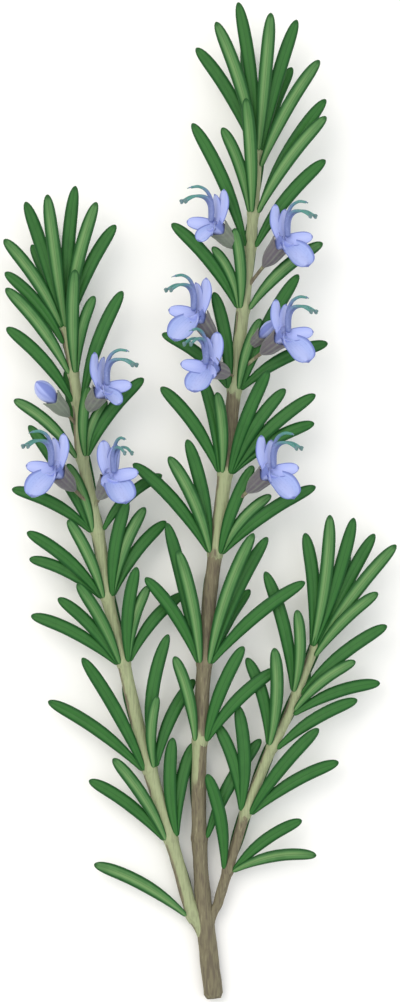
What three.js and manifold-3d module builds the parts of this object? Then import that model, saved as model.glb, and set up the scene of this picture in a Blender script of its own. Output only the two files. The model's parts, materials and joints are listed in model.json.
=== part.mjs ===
// A cut rosemary sprig in flower, lying on its back on a flat surface.
// Millimetres, +Z up, +Y towards the tip of the sprig, +X to its right as seen from above.
// The origin is on the surface, under the middle of the sprig.
import * as THREE from 'three';
import Module from 'manifold-3d';
import { mergeVertices } from 'three/addons/utils/BufferGeometryUtils.js';

const wasm = await Module();
wasm.setup();

// Overall sizes.
const SPRIG_LENGTH = 250; // cut end to the tips of the topmost leaves
const SPRIG_WIDTH = 98; // across the three shoots with their leaves
const HABIT_LENGTH = 250; // the heights in the lists below are those of a sprig this long
const HABIT_WIDTH = 98; // and the distances across are those of a sprig this wide

// Stems and the ring of leaf bases at each node.
const STEM_GIRTH = 1; // multiplies every stem radius in the lists
const CLEARANCE = 0.3; // between pieces that touch
const RING_WALL = 0.8;
const RING_LENGTH = 2.6;

// Leaves.
const LEAF_WIDTH = 3.4;
const LEAF_THICKNESS = 0.9;
const LEAF_GROWTH = 1; // multiplies every leaf length in the lists
const LEAF_SAG = 0.9; // how far a leaf humps above the straight line to its tip
const LEAF_ARCH = 1.3; // how far it bows towards the stem's tip before it turns outwards
const LEAF_FOOT = 0.42; // width at the foot, as a share of the full width
const LEAF_WIDEST = 0.55; // where along its length it is widest
const REST_HEIGHT = 0.35; // centre of a leaf tip that rests on the surface

// Flowers.
const CALYX_LENGTH = 6.6;
const CALYX_WALL = 0.4;
const CALYX_WAIST_WALL = 0.28; // thinner below the mouth
const CALYX_FLARE = 0.55; // room round the corolla's tube at the calyx's mouth
const TUBE_RADIUS = 1.35; // corolla tube
const TUBE_SHOWING = 2.9; // tube length between the calyx rim and the throat
const TUBE_IN_CALYX = 3.2;
const STALK_RADIUS = 0.45;
const FILAMENT_RADIUS = 0.32;
const ANTHER_RADIUS = 0.6;
const PETAL_THICKNESS = 0.9;
const BUD_RADIUS = 1.9;
const BUD_LENGTH = 6.5;
const BUD_CALYX = 0.75; // size of a bud's calyx against an open flower's
const BUD_TUBE_RADIUS = 1;

const STEM_SIDES = 8;
const BELL_SIDES = 8;
const LEAF_STEPS = 4;

const UP = new THREE.Vector3(0, 0, 1);
const along = SPRIG_LENGTH / HABIT_LENGTH;
const across = SPRIG_WIDTH / HABIT_WIDTH;

const bark = { color: '#7c7560', roughness: 0.85, metalness: 0 };
const youngStem = { color: '#98a27a', roughness: 0.7, metalness: 0 };
const leafGreen = { color: '#3c7338', roughness: 0.55, metalness: 0 };
const calyxPurple = { color: '#5d5760', roughness: 0.7, metalness: 0 };
const petalBlue = { color: '#b0b9f0', roughness: 0.6, metalness: 0 };
const stamenBlue = { color: '#6b78ac', roughness: 0.6, metalness: 0 };

// Each stem: [across, height above the cut end, height above the surface, radius].
const STEMS = {
  main: [
    [3.1, 0, 2.4, 2.4], [1.4, 15, 2.6, 2.35], [0, 30, 3.4, 1.9], [-0.6, 43, 4.4, 1.85],
    [-0.6, 59, 5.8, 1.8], [0.2, 77, 7.2, 1.8], [1.9, 99.5, 8.6, 1.75], [3.4, 112, 9.2, 1.75],
    [5.9, 132, 9.8, 1.75], [8, 151, 10.2, 1.7], [10.1, 170, 10.5, 1.5], [11.8, 185, 10.7, 1.35],
    [13, 198, 10.9, 1.3], [14.4, 214.5, 11.2, 1.0],
  ],
  left: [
    [-0.6, 17, 3.0, 1.7], [-3.1, 24, 3.4, 1.7], [-6.6, 36.5, 4.2, 1.65], [-11.9, 54, 5.4, 1.75],
    [-15.5, 67, 6.2, 1.7], [-19.4, 84, 7, 1.55], [-23.6, 101, 7.6, 1.5], [-25.4, 114, 8, 1.55],
    [-28.2, 128, 8.3, 1.45], [-30.4, 139, 8.5, 1.4], [-31, 150, 8.7, 1.4], [-34.4, 170, 9, 1.0],
  ],
  right: [
    [3.2, 20, 3.2, 1.25], [4.4, 25, 3.6, 1.25], [6.8, 33, 4.4, 1.25], [8.9, 40, 5, 1.25],
    [11.1, 47, 5.6, 1.3], [16.6, 61, 6.5, 1.3], [21.5, 71, 7, 1.2], [26.4, 83.5, 7.5, 1.1],
    [31.1, 95, 7.9, 0.9],
  ],
};

// Each whorl: the height of its node above the cut end, and its leaves, lowest whorl first.
// A leaf: [heading, rise, length, arch, slip]. The heading is its bearing seen from above, 0 towards
// the tip of the sprig and positive to the right; the rise is above the surface, in degrees. The arch
// multiplies LEAF_ARCH, and the slip moves its foot along the stem; 1 and 0 where left out.
// A rear leaf, [heading, length], grows on the underside and reaches down to the surface.
const WHORLS = {
  main: [
    { height: 40.5, leaves: [[31.9, 1, 29.2]], rear: [[-3, 21]] },
    { height: 65, leaves: [[-16.8, 16, 23.1], [24.8, 10, 26.5], [46.9, 8, 26.8]], rear: [[3, 24]] },
    {
      height: 84.5,
      leaves: [
        [-15, 6, 36.5, 0.6], [-13.3, 17, 30.4], [-34.7, 9, 26.3], [20.7, 14, 35.8, 1.4],
        [26.6, 6, 35.4, 1.2], [32, -3, 21.6], [51, 8, 32.6],
      ],
      rear: [[4, 25]],
    },
    {
      height: 112,
      leaves: [
        [-42.6, 8, 30.6], [-25.8, 17, 27.9], [-14, 8, 29.5], [23.5, 12, 24.3], [44, 8, 20.3],
        [56.5, 6, 30.2],
      ],
      rear: [[7, 25]],
    },
    {
      height: 132,
      leaves: [
        [-37, 6, 26.9], [-14, 8, 24.9], [-6, 18, 21.2], [23, 12, 28.3], [35.6, 10, 26.1], [49, 7, 30],
        [60.8, 4, 25.5],
      ],
      rear: [[6, 26]],
    },
    {
      height: 153,
      leaves: [[-12.2, 4, 24.7], [20.5, 12, 19], [29.3, 3, 32.7], [64, 2, 25.9], [-53, 1, 22.7]],
      rear: [[6, 27]],
    },
    {
      height: 173,
      leaves: [[-40.3, 3, 27.8], [-27, 9, 17.4], [-6.6, 15, 20.7], [50.4, 3, 25.7]],
      rear: [[6, 26]],
    },
    { height: 188.5, leaves: [[-25.4, 5, 34], [41, 3, 28.6]] },
    {
      height: 197,
      leaves: [[-20.6, 12, 22.8], [-4, 20, 29.7], [37.5, 10, 30.2], [32.7, 2, 33.5]],
      rear: [[5, 26]],
    },
    {
      height: 212.5,
      leaves: [
        [-31.5, 2, 29.9], [-18.8, 12, 34], [-8, 6, 37.2], [5, 16, 35], [16.4, 8, 33.9], [21.9, -4, 22.5],
        [30.6, 12, 30.9, 1, -4],
      ],
      rear: [[-7, 30]],
    },
  ],
  left: [
    { height: 21.5, leaves: [[-63.3, 4, 27.7]], rear: [[-20, 18]] },
    {
      height: 40.5,
      leaves: [[-35.5, 12, 25.3], [-54.6, 4, 25.1], [1.4, 4, 25.3], [14, -2, 24.7]],
      rear: [[-17, 20]],
    },
    {
      height: 58,
      leaves: [[-31.1, 9, 32.9], [-56.4, 3, 30.5], [8.1, 6, 34.2, 2], [6.4, 18, 19.4], [27, -3, 25]],
      rear: [[-16, 23]],
    },
    {
      height: 84.5,
      leaves: [
        [-30, 14, 23.7], [-45.3, 7, 23.2], [-63, 2, 26], [8, 12, 24.8], [18.3, 8, 20.6], [41, -4, 23],
      ],
      rear: [[-13, 24]],
    },
    {
      height: 101,
      leaves: [
        [-26.7, 14, 22.3], [-51, 6, 25.9], [-64, 2, 21.7], [12, 8, 24.9], [23, 4, 24.4], [38, -3, 24],
      ],
      rear: [[-9, 24]],
    },
    {
      height: 117.5,
      leaves: [[-33.1, 1, 31.5], [-24.1, 6, 18.5], [-64, 1, 23.8], [49, -2, 21.4]],
      rear: [[-11, 24]],
    },
    {
      height: 136,
      leaves: [[-50, 3, 22.2], [5.7, 15, 18.3], [24.2, 3, 15.4], [38.2, 2, 25]],
      rear: [[-10, 24]],
    },
    { height: 150, leaves: [[-44.2, 3, 25.5], [22.4, 4, 29.7]] },
    { height: 157, leaves: [[-38.6, 9, 27.2], [1.5, 19, 27], [15.8, 12, 20.3]], rear: [[-10, 24]] },
    {
      height: 168.5,
      leaves: [
        [-41.8, 2, 23.6, 1, -4], [-34.9, 11, 26.9], [-22.2, -3, 22.3], [-17.5, 6, 32.8], [-7.3, 16, 34.2],
        [4.4, 7, 35.4], [14.6, 13, 32.7], [26.6, 5, 28.5],
      ],
      rear: [[-8, 28]],
    },
  ],
  right: [
    { height: 32.5, leaves: [[-12.3, 12, 25.4], [55.9, 5, 22.4], [80.4, 8, 22.6]], rear: [[17, 18]] },
    {
      height: 47,
      leaves: [[-18.5, 2, 23.6], [-4.5, 4, 27], [40.6, 11, 28.4], [61.4, 4, 26.5]],
      rear: [[21, 20]],
    },
    { height: 63.5, leaves: [[-16.3, 5, 23.3], [0.7, 18, 26.2], [61, 4, 24.3]], rear: [[26, 22]] },
    {
      height: 77,
      leaves: [
        [-14.9, 4, 31.5], [-0.4, 14, 21.5], [53, 6, 28.2], [53.3, 12, 20.5, 1, -4],
        [72, 1, 23.9, 1, -5],
      ],
      rear: [[22, 22]],
    },
    {
      height: 88.5,
      leaves: [
        [-5.3, 6, 28.8], [6, 13, 34.1], [16.4, 9, 34.1], [27.6, 4, 32], [38.1, 10, 33],
        [46.3, 13, 23.2, 1, -2],
      ],
      rear: [[20, 26]],
    },
  ],
};

// Each open flower: the stem and height where its stalk grows, and its throat: across, height above
// the cut end, height above the surface. The turn is where it faces: 0 right, 90 up at the viewer,
// 180 left. The lobe multiplies the size of its lower lip.
const FLOWERS = [
  { stem: 'main', height: 185, throat: [2.9, 194, 17], turn: 150, lobe: 0.62 },
  { stem: 'main', height: 178, throat: [20.9, 190.3, 16.5], turn: 38, lobe: 1 },
  { stem: 'main', height: 157, throat: [-1.5, 172, 17], turn: 142, lobe: 1 },
  { stem: 'main', height: 156, throat: [1.4, 158.5, 20], turn: 125, lobe: 0.9 },
  { stem: 'main', height: 157, throat: [21, 166.5, 20.5], turn: 38, lobe: 1 },
  { stem: 'main', height: 121, throat: [17.4, 132.8, 19], turn: 38, lobe: 1 },
  { stem: 'left', height: 145, throat: [-24, 153.5, 16], turn: 30, lobe: 0.62 },
  { stem: 'left', height: 123, throat: [-36.9, 133.3, 18], turn: 142, lobe: 1 },
  { stem: 'left', height: 123, throat: [-22.1, 131.6, 17], turn: 62, lobe: 1 },
];

// Each bud: the stem and height where its stalk grows, the middle of its closed petals, and how
// large it has grown against the bud sizes above.
const BUDS = [
  { stem: 'main', height: 161, middle: [16.9, 168, 15.5], growth: 0.95 },
  { stem: 'left', height: 143.5, middle: [-39.1, 152.5, 14.5], growth: 1.25 },
];

const sprig = new THREE.Group();

// How far the whole sprig is raised from the rises in the lists, so that its stems lie on the surface.
const dips = Object.values(STEMS).flat().map(([, , rise, radius]) => radius * STEM_GIRTH - rise);
const lift = Math.max(...dips);

function vector(acrossSprig, height, rise) {
  return new THREE.Vector3(acrossSprig * across, height * along - SPRIG_LENGTH / 2, rise + lift);
}

function toSolid(geometry) {
  const bare = geometry.clone();
  bare.deleteAttribute('normal');
  bare.deleteAttribute('uv');
  const merged = mergeVertices(bare, 1e-5);
  return new wasm.Manifold(new wasm.Mesh({
    numProp: 3,
    vertProperties: new Float32Array(merged.attributes.position.array),
    triVerts: new Uint32Array(merged.index.array),
  }));
}

function toGeometry(solid) {
  const mesh = solid.getMesh();
  const geometry = new THREE.BufferGeometry();
  geometry.setAttribute('position', new THREE.BufferAttribute(mesh.vertProperties, 3));
  geometry.setIndex(new THREE.BufferAttribute(mesh.triVerts, 1));
  geometry.computeVertexNormals();
  return geometry;
}

function union(solids) {
  return solids.reduce((whole, solid) => whole.add(solid));
}

function addPiece(name, solid, look) {
  const mesh = new THREE.Mesh(toGeometry(solid), new THREE.MeshStandardMaterial(look));
  mesh.name = name;
  sprig.add(mesh);
}

// Lays a bar along a curve. The bar runs from z = 0 to 1; its x goes sideways and its y upwards.
function layAlong(bar, curve, halfWidth, halfHeight) {
  const places = bar.attributes.position;
  for (let i = 0; i < places.count; i += 1) {
    const t = places.getZ(i);
    const forward = curve.getTangent(t);
    const side = new THREE.Vector3().crossVectors(UP, forward).normalize();
    const face = new THREE.Vector3().crossVectors(forward, side);
    const place = curve.getPoint(t);
    place.addScaledVector(side, places.getX(i) * halfWidth(t));
    place.addScaledVector(face, places.getY(i) * halfHeight(t));
    places.setXYZ(i, place.x, place.y, place.z);
  }
  return toSolid(bar);
}

function roundBar(sides, steps) {
  return new THREE.CylinderGeometry(1, 1, 1, sides, steps).rotateX(Math.PI / 2).translate(0, 0, 0.5);
}

// A round rod along a curve, with a radius that may change along it.
function rod(curve, radius, sides, steps) {
  return layAlong(roundBar(sides, steps), curve, radius, radius);
}

// Stems -----------------------------------------------------------------------------------------

function makeStem(rows) {
  const points = rows.map((row) => vector(row[0], row[1], row[2]));
  const curve = new THREE.CatmullRomCurve3(points, false, 'catmullrom');
  const radius = (t) => {
    const place = t * (rows.length - 1);
    const lower = Math.min(Math.floor(place), rows.length - 2);
    return STEM_GIRTH * THREE.MathUtils.lerp(rows[lower][3], rows[lower + 1][3], place - lower);
  };
  const steps = rows.length - 1;
  return {
    curve,
    radius,
    solid: rod(curve, radius, STEM_SIDES, steps),
    grown: rod(curve, (t) => radius(t) + CLEARANCE, STEM_SIDES, steps),
  };
}

// The point, direction and radius of a stem at a height above the cut end.
function placeOn(stem, height) {
  const target = vector(0, height, 0).y;
  let low = 0;
  let high = 1;
  for (let i = 0; i < 30; i += 1) {
    const middle = (low + high) / 2;
    if (stem.curve.getPoint(middle).y < target) low = middle;
    else high = middle;
  }
  return { point: stem.curve.getPoint(low), forward: stem.curve.getTangent(low), radius: stem.radius(low) };
}

const stems = {};
for (const [name, rows] of Object.entries(STEMS)) stems[name] = makeStem(rows);

// The room that is taken so far: every piece placed, each one grown by the clearance.
let taken = union(Object.values(stems).map((stem) => stem.grown));

// Adds the pieces of one group, pressed clear of what is there, then takes their room.
function settle(pieces, grown, looks) {
  for (const [index, [name, solid]] of Object.entries(pieces).entries()) {
    addPiece(name, solid.subtract(taken), looks[index]);
  }
  taken = taken.add(grown);
}

addPiece('main_stem', stems.main.solid, bark);
addPiece('left_side_shoot', stems.left.solid.subtract(stems.main.grown), youngStem);
addPiece('right_side_shoot', stems.right.solid.subtract(stems.main.grown), youngStem);

// Leaves ----------------------------------------------------------------------------------------

// Half width of a leaf along its length, as a share of its greatest: a narrow foot and a blunt tip.
function leafOutline(t) {
  if (t < LEAF_WIDEST) return LEAF_FOOT + (1 - LEAF_FOOT) * Math.sin((Math.PI / 2) * (t / LEAF_WIDEST));
  return Math.sqrt(1 - 0.85 * ((t - LEAF_WIDEST) / (1 - LEAF_WIDEST)) ** 4);
}

function leafBlade(curve, extra) {
  const strap = new THREE.BoxGeometry(2, 2, 1, 1, 1, LEAF_STEPS).translate(0, 0, 0.5);
  const halfWidth = (t) => (LEAF_WIDTH / 2) * leafOutline(t) + extra;
  const halfHeight = (t) => (LEAF_THICKNESS / 2) * (1 - 0.45 * t * t) + extra;
  return layAlong(strap, curve, halfWidth, halfHeight);
}

function leafDirection(heading, rise) {
  const bearing = THREE.MathUtils.degToRad(heading);
  const climb = THREE.MathUtils.degToRad(rise);
  const flat = Math.cos(climb);
  return new THREE.Vector3(Math.sin(bearing) * flat, Math.cos(bearing) * flat, Math.sin(climb));
}

// A leaf starts on the side of the stem that it leans to, bows towards the stem's tip and turns out.
// Its reach follows the sprig's length and width, so that the outermost tips are at the sprig's size.
function leafCurve(node, direction, length, arch, sag) {
  const lean = direction.clone().addScaledVector(node.forward, -direction.dot(node.forward)).normalize();
  const start = node.point.clone().addScaledVector(lean, node.radius + CLEARANCE + LEAF_THICKNESS / 2);
  const stretched = new THREE.Vector3(across, along, 1).multiply(direction);
  const tip = node.point.clone().addScaledVector(stretched, length);
  const bow = node.forward.clone().addScaledVector(direction, -direction.dot(node.forward)).normalize();
  const middle = start.clone().add(tip).multiplyScalar(0.5);
  middle.addScaledVector(bow, 2 * arch).addScaledVector(UP, 2 * sag);
  return new THREE.QuadraticBezierCurve3(start, middle, tip);
}

function leaf(stem, height, row, extra) {
  const [heading, rise, length, arch = 1, slip = 0] = row;
  const node = placeOn(stem, height + slip);
  const direction = leafDirection(heading, rise);
  const reach = length * LEAF_GROWTH + extra;
  return leafBlade(leafCurve(node, direction, reach, arch * LEAF_ARCH, LEAF_SAG), extra);
}

function rearLeaf(stem, height, row, extra) {
  const [heading, length] = row;
  const node = placeOn(stem, height);
  const drop = (node.point.z - REST_HEIGHT) / (length * LEAF_GROWTH);
  const direction = leafDirection(heading, -THREE.MathUtils.radToDeg(Math.asin(drop)));
  return leafBlade(leafCurve(node, direction, length * LEAF_GROWTH + extra, 0, LEAF_SAG / 2), extra);
}

// The ring of joined leaf bases around the stem, as a plug that the stem is later cut from.
function nodePlug(stem, height, extra) {
  const node = placeOn(stem, height);
  const half = node.forward.clone().multiplyScalar(RING_LENGTH / 2 + extra);
  const line = new THREE.LineCurve3(node.point.clone().sub(half), node.point.clone().add(half));
  return rod(line, () => node.radius + CLEARANCE + RING_WALL + extra, STEM_SIDES, 1);
}

function whorl(stem, { height, leaves, rear = [] }, extra) {
  return union([
    nodePlug(stem, height, extra),
    ...leaves.map((row) => leaf(stem, height, row, extra)),
    ...rear.map((row) => rearLeaf(stem, height, row, extra)),
  ]);
}

// Flowers ---------------------------------------------------------------------------------------

// A petal is a flat ellipsoid from its root to its tip, with its face turned to a given side.
function petal(root, tip, halfWidth, face, extra) {
  const lengthwise = tip.clone().sub(root);
  const halfLength = lengthwise.length() / 2 + extra;
  const forward = lengthwise.normalize();
  const side = new THREE.Vector3().crossVectors(forward, face).normalize();
  const front = new THREE.Vector3().crossVectors(side, forward);
  const blob = new THREE.SphereGeometry(1, 6, 3);
  blob.scale(halfWidth + extra, halfLength, PETAL_THICKNESS / 2 + extra);
  const frame = new THREE.Matrix4().makeBasis(side, forward, front);
  frame.setPosition(root.clone().add(tip).multiplyScalar(0.5));
  return toSolid(blob.applyMatrix4(frame));
}

// Petals of an open flower about its throat: x is where it faces, y is its top, z its side.
// The large lower lobe turns a little towards the light, and the wing on that side hangs.
function openPetals(lobe, light, extra) {
  const petals = [];
  const lit = Math.sign(light.z);
  for (const side of [-1, 1]) {
    const lipRoot = new THREE.Vector3(-0.7, -0.6, side * 0.4);
    const lipTip = new THREE.Vector3(-2, 8.6, side * 1.3);
    petals.push(petal(lipRoot, lipTip, 1.7, new THREE.Vector3(1, 0.15, 0), extra));
    const wingRoot = new THREE.Vector3(0, -0.6, side * 0.6);
    const wingTip = side === lit
      ? new THREE.Vector3(2.6, -2.2, side * 4.6)
      : new THREE.Vector3(4.6, 0.8, side * 4.6);
    petals.push(petal(wingRoot, wingTip, 1.4, new THREE.Vector3(0.7, 0.2, -0.7 * side), extra));
  }
  const lobeRoot = new THREE.Vector3(-0.2, -0.4, 0);
  const lobeTip = new THREE.Vector3(7.2 * lobe, -6.6 * lobe, 0);
  const lobeFace = new THREE.Vector3(0.55, 0.55, 0).addScaledVector(light, 0.5);
  petals.push(petal(lobeRoot, lobeTip, 3.5 * lobe, lobeFace, extra));
  return union(petals);
}

// The two stamens and the style between them, joined by a small disc in the throat.
function stamenRods(extra) {
  const paths = [];
  for (const side of [-1, 1]) {
    const stamen = [[0.6, 0.2, 0], [0.7, 4.4, 0.4], [2.4, 6.4, 0.7], [5.6, 6.6, 0.9], [8.6, 5.2, 1]];
    paths.push(stamen.map(([x, y, z]) => new THREE.Vector3(x, y, z * side)));
  }
  const style = [[0.6, 0.2, 0], [0.4, 4.8, 0], [1.7, 7.8, 0], [4, 9, 0], [6.3, 8.8, 0]];
  paths.push(style.map((point) => new THREE.Vector3(...point)));
  const pieces = paths.map((points) => {
    const curve = new THREE.CatmullRomCurve3(points, false, 'catmullrom');
    return rod(curve, () => FILAMENT_RADIUS + extra, 3, 5);
  });
  for (const points of paths.slice(0, 2)) {
    const anther = new THREE.SphereGeometry(ANTHER_RADIUS + extra, 4, 2);
    pieces.push(toSolid(anther.translate(...points.at(-1))));
  }
  const disc = new THREE.SphereGeometry(0.6 + extra, 5, 3).translate(0.6, 0.3, 0);
  pieces.push(toSolid(disc));
  return union(pieces);
}

// A bell that opens at its far end, with its foot at the origin and its axis along z.
// Its hollow follows the tube that it holds, with the clearance between their flat sides at the waist.
function bell(size, tubeRadius) {
  const inner = tubeRadius + CALYX_FLARE * size;
  const waist = tubeRadius + CLEARANCE / Math.cos(Math.PI / BELL_SIDES);
  const outline = [
    [0, 0], [size, 0.06], [waist + CALYX_WAIST_WALL * size, 0.4], [inner + CALYX_WALL * size, 1],
    [inner, 1], [waist, 0.42], [0, 0.25],
  ];
  const profile = outline.map(([x, y]) => new THREE.Vector2(x, y * CALYX_LENGTH * size));
  return new THREE.LatheGeometry(profile, BELL_SIDES).rotateX(Math.PI / 2);
}

// A calyx on its stalk: the stalk starts in the middle of the stem.
function calyx(start, mouth, size, tubeRadius) {
  const axis = mouth.clone().sub(start).normalize();
  const foot = mouth.clone().addScaledVector(axis, -CALYX_LENGTH * size);
  const cup = bell(size, tubeRadius);
  cup.applyQuaternion(new THREE.Quaternion().setFromUnitVectors(UP, axis)).translate(...foot);
  const stalkEnd = foot.clone().addScaledVector(axis, 0.8);
  return toSolid(cup).add(rod(new THREE.LineCurve3(start, stalkEnd), () => STALK_RADIUS, 5, 1));
}

// The room of a calyx and its stalk, without the hollow.
function calyxRoom(start, mouth, size, tubeRadius) {
  const axis = mouth.clone().sub(start).normalize();
  const foot = mouth.clone().addScaledVector(axis, -CALYX_LENGTH * size - CLEARANCE);
  const rim = mouth.clone().addScaledVector(axis, CLEARANCE);
  const widest = tubeRadius + (CALYX_FLARE + CALYX_WALL) * size;
  const radius = (t) => widest * (0.45 + 0.55 * Math.sqrt(t)) + CLEARANCE;
  const stalk = rod(new THREE.LineCurve3(start, foot), () => STALK_RADIUS + CLEARANCE, 5, 1);
  return rod(new THREE.LineCurve3(foot, rim), radius, 8, 3).add(stalk);
}

function corollaTube(throat, axis, length, radius) {
  const inside = throat.clone().addScaledVector(axis, -length);
  return rod(new THREE.LineCurve3(inside, throat), () => radius, 8, 1);
}

FLOWERS.forEach(({ stem, height, throat, turn, lobe }, index) => {
  const middle = vector(...throat);
  const start = placeOn(stems[stem], height).point;
  const axis = middle.clone().sub(start).normalize();
  const mouth = middle.clone().addScaledVector(axis, -TUBE_SHOWING);
  const bearing = THREE.MathUtils.degToRad(turn);
  const facing = new THREE.Vector3(Math.cos(bearing), 0, Math.sin(bearing));
  const top = new THREE.Vector3(0, 1, 0);
  const place = new THREE.Matrix4().makeBasis(facing, top, new THREE.Vector3().crossVectors(facing, top));
  place.setPosition(middle);
  const light = new THREE.Vector3(Math.sin(bearing), 0, Math.cos(bearing));
  const open = (extra) => openPetals(lobe, light, extra).transform(place.elements);
  const rods = (extra) => stamenRods(extra).transform(place.elements);
  const tube = corollaTube(middle, axis, TUBE_SHOWING + TUBE_IN_CALYX, TUBE_RADIUS);
  const name = `flower_${index + 1}`;
  const grown = [open(CLEARANCE), rods(CLEARANCE), calyxRoom(start, mouth, 1, TUBE_RADIUS)];
  settle(
    {
      [`${name}_calyx`]: calyx(start, mouth, 1, TUBE_RADIUS),
      [`${name}_corolla`]: tube.add(open(0)).subtract(rods(CLEARANCE)),
      [`${name}_stamens`]: rods(0),
    },
    union(grown).add(corollaTube(middle, axis, TUBE_SHOWING, TUBE_RADIUS + CLEARANCE)),
    [calyxPurple, petalBlue, stamenBlue],
  );
});

BUDS.forEach(({ stem, height, middle, growth }, index) => {
  const bodyRadius = BUD_RADIUS * growth;
  const bodyLength = BUD_LENGTH * Math.min(growth, 1.1);
  const calyxSize = BUD_CALYX * growth;
  const centre = vector(...middle);
  const start = placeOn(stems[stem], height).point;
  const axis = centre.clone().sub(start).normalize();
  const mouth = centre.clone().addScaledVector(axis, -bodyLength / 2);
  const egg = (extra) => {
    const blob = new THREE.SphereGeometry(1, 8, 6);
    blob.scale(bodyRadius + extra, bodyRadius + extra, bodyLength / 2 + extra);
    blob.applyQuaternion(new THREE.Quaternion().setFromUnitVectors(UP, axis));
    return toSolid(blob.translate(...centre));
  };
  const tube = corollaTube(centre, axis, bodyLength / 2 + calyxSize * TUBE_IN_CALYX, BUD_TUBE_RADIUS);
  const name = `bud_${index + 1}`;
  settle(
    {
      [`${name}_calyx`]: calyx(start, mouth, calyxSize, BUD_TUBE_RADIUS),
      [`${name}_petals`]: egg(0).add(tube),
    },
    egg(CLEARANCE).add(calyxRoom(start, mouth, calyxSize, BUD_TUBE_RADIUS)),
    [calyxPurple, petalBlue],
  );
});

// Whorls last, so that a leaf which presses on a flower or on another leaf gives way to it.
for (const [name, whorls] of Object.entries(WHORLS)) {
  const stem = stems[name];
  whorls.forEach((rows, index) => {
    const piece = { [`${name}_whorl_${index + 1}`]: whorl(stem, rows, 0) };
    settle(piece, whorl(stem, rows, CLEARANCE), [leafGreen]);
  });
}

export default sprig;
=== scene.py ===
import json
import math
import random

import bmesh
import bpy
from mathutils import Matrix, Vector
from mathutils.noise import noise


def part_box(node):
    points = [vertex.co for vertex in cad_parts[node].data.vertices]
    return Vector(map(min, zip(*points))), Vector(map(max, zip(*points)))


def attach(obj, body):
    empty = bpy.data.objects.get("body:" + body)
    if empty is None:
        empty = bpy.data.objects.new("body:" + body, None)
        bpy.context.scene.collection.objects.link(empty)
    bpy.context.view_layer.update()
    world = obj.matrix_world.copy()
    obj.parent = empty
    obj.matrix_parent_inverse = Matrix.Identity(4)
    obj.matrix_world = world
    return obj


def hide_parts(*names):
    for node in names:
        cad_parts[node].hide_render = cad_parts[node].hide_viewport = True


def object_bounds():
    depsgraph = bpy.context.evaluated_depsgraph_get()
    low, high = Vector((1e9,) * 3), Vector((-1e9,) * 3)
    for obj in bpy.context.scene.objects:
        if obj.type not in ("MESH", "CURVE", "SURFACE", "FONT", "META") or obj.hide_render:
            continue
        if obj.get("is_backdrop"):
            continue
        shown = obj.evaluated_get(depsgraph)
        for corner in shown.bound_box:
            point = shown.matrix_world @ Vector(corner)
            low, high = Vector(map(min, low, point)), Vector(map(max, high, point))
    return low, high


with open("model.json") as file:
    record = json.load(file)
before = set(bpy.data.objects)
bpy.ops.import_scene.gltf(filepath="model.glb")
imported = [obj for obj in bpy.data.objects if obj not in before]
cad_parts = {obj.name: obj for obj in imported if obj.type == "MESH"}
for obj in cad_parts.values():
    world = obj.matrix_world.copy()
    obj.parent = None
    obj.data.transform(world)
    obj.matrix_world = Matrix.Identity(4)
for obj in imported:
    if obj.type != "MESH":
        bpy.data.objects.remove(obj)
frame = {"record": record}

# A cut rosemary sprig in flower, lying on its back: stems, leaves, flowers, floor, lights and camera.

bl_info = {
    "name": "Rosemary sprig",
    "version": (1, 0, 0),
    "blender": (4, 5, 0),
    "location": "View3D > Sidebar > Sprig",
    "description": "Builds a cut, flowering rosemary sprig around its packed frame",
    "category": "Add Mesh",
}

MM = 0.001
UP = Vector((0, 0, 1))
TO_TIP = Vector((0, 1, 0))
BODY = "root"

CAD_LOW, CAD_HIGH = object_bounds()
HALF_SPRIG = 125  # mm from the cut end to the frame's origin
FIT = 3.0  # mm that a piece may differ from the box of the node it stands for
WELD = 0.002  # mm between points that are one point

# Each stem: [across, height above the cut end, height above the floor, radius], in mm.
STEMS = {
    "main": [
        [3.1, 0, 2.4, 2.4], [1.4, 15, 2.6, 2.35], [0, 30, 3.4, 1.9], [-0.6, 43, 4.4, 1.85],
        [-0.6, 59, 5.8, 1.8], [0.2, 77, 7.2, 1.8], [1.9, 99.5, 8.6, 1.75], [3.4, 112, 9.2, 1.75],
        [5.9, 132, 9.8, 1.75], [8, 151, 10.2, 1.7], [10.1, 170, 10.5, 1.5], [11.8, 185, 10.7, 1.35],
        [13, 198, 10.9, 1.3], [14.4, 214.5, 11.2, 1.0],
    ],
    "left": [
        [-0.6, 17, 3.0, 1.7], [-3.1, 24, 3.4, 1.7], [-6.6, 36.5, 4.2, 1.65], [-11.9, 54, 5.4, 1.75],
        [-15.5, 67, 6.2, 1.7], [-19.4, 84, 7, 1.55], [-23.6, 101, 7.6, 1.5], [-25.4, 114, 8, 1.55],
        [-28.2, 128, 8.3, 1.45], [-30.4, 139, 8.5, 1.4], [-31, 150, 8.7, 1.4], [-34.4, 170, 9, 1.0],
    ],
    "right": [
        [3.2, 20, 3.2, 1.25], [4.4, 25, 3.6, 1.25], [6.8, 33, 4.4, 1.25], [8.9, 40, 5, 1.25],
        [11.1, 47, 5.6, 1.3], [16.6, 61, 6.5, 1.3], [21.5, 71, 7, 1.2], [26.4, 83.5, 7.5, 1.1],
        [31.1, 95, 7.9, 0.9],
    ],
}
STEM_NODES = {"main": "main_stem", "left": "left_side_shoot", "right": "right_side_shoot"}
SLOTS = {row["node"]: row["material_slot"] for row in frame["record"]["subparts"]}

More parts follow.
